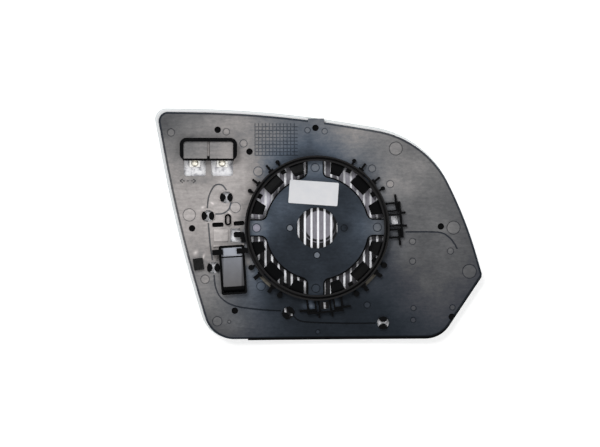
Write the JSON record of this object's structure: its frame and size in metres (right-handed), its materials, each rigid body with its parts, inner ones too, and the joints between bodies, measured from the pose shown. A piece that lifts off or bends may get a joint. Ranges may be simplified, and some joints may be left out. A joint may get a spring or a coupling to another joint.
{
  "type": "car door mirror glass",
  "caption": "Convex heated door mirror glass on a moulded backing plate with a round snap ring, hub bore, heater terminals and wire clips.",
  "frame": {"origin": "on the hub bore's axis, in the back face of the backing plate", "axes": "+Z along the hub axis from the mirror side to the back, +X along the long side towards the pointed end, +Y to the upper edge"},
  "size_m": [0.1921, 0.1365, 0.0138],
  "materials": {
    "mirror_glass": "silvered convex glass with a ground edge",
    "film": "white polyester carrier film",
    "ink": "dark printed heating layer",
    "lead": "flat conductor foil",
    "plate": "black moulded plastic with a soft sheen",
    "terminal": "tinned blade",
    "rivet": "plain brass",
    "cover": "black moulded plastic with a soft sheen",
    "foam": "black closed-cell foam",
    "label": "blank white label"
  },
  "bodies": {
    "root": {"mirror_glass": "mirror_glass", "heater_film": "film", "heater_ink": "ink", "lead_left": "lead", "lead_right": "lead", "backing_plate": "plate", "terminal_left": "terminal", "terminal_right": "terminal", "rivet_left": "rivet", "rivet_right": "rivet", "sensor_cover": "cover", "foam_pad": "foam", "paper_label": "label"}
  },
  "joints": []
}
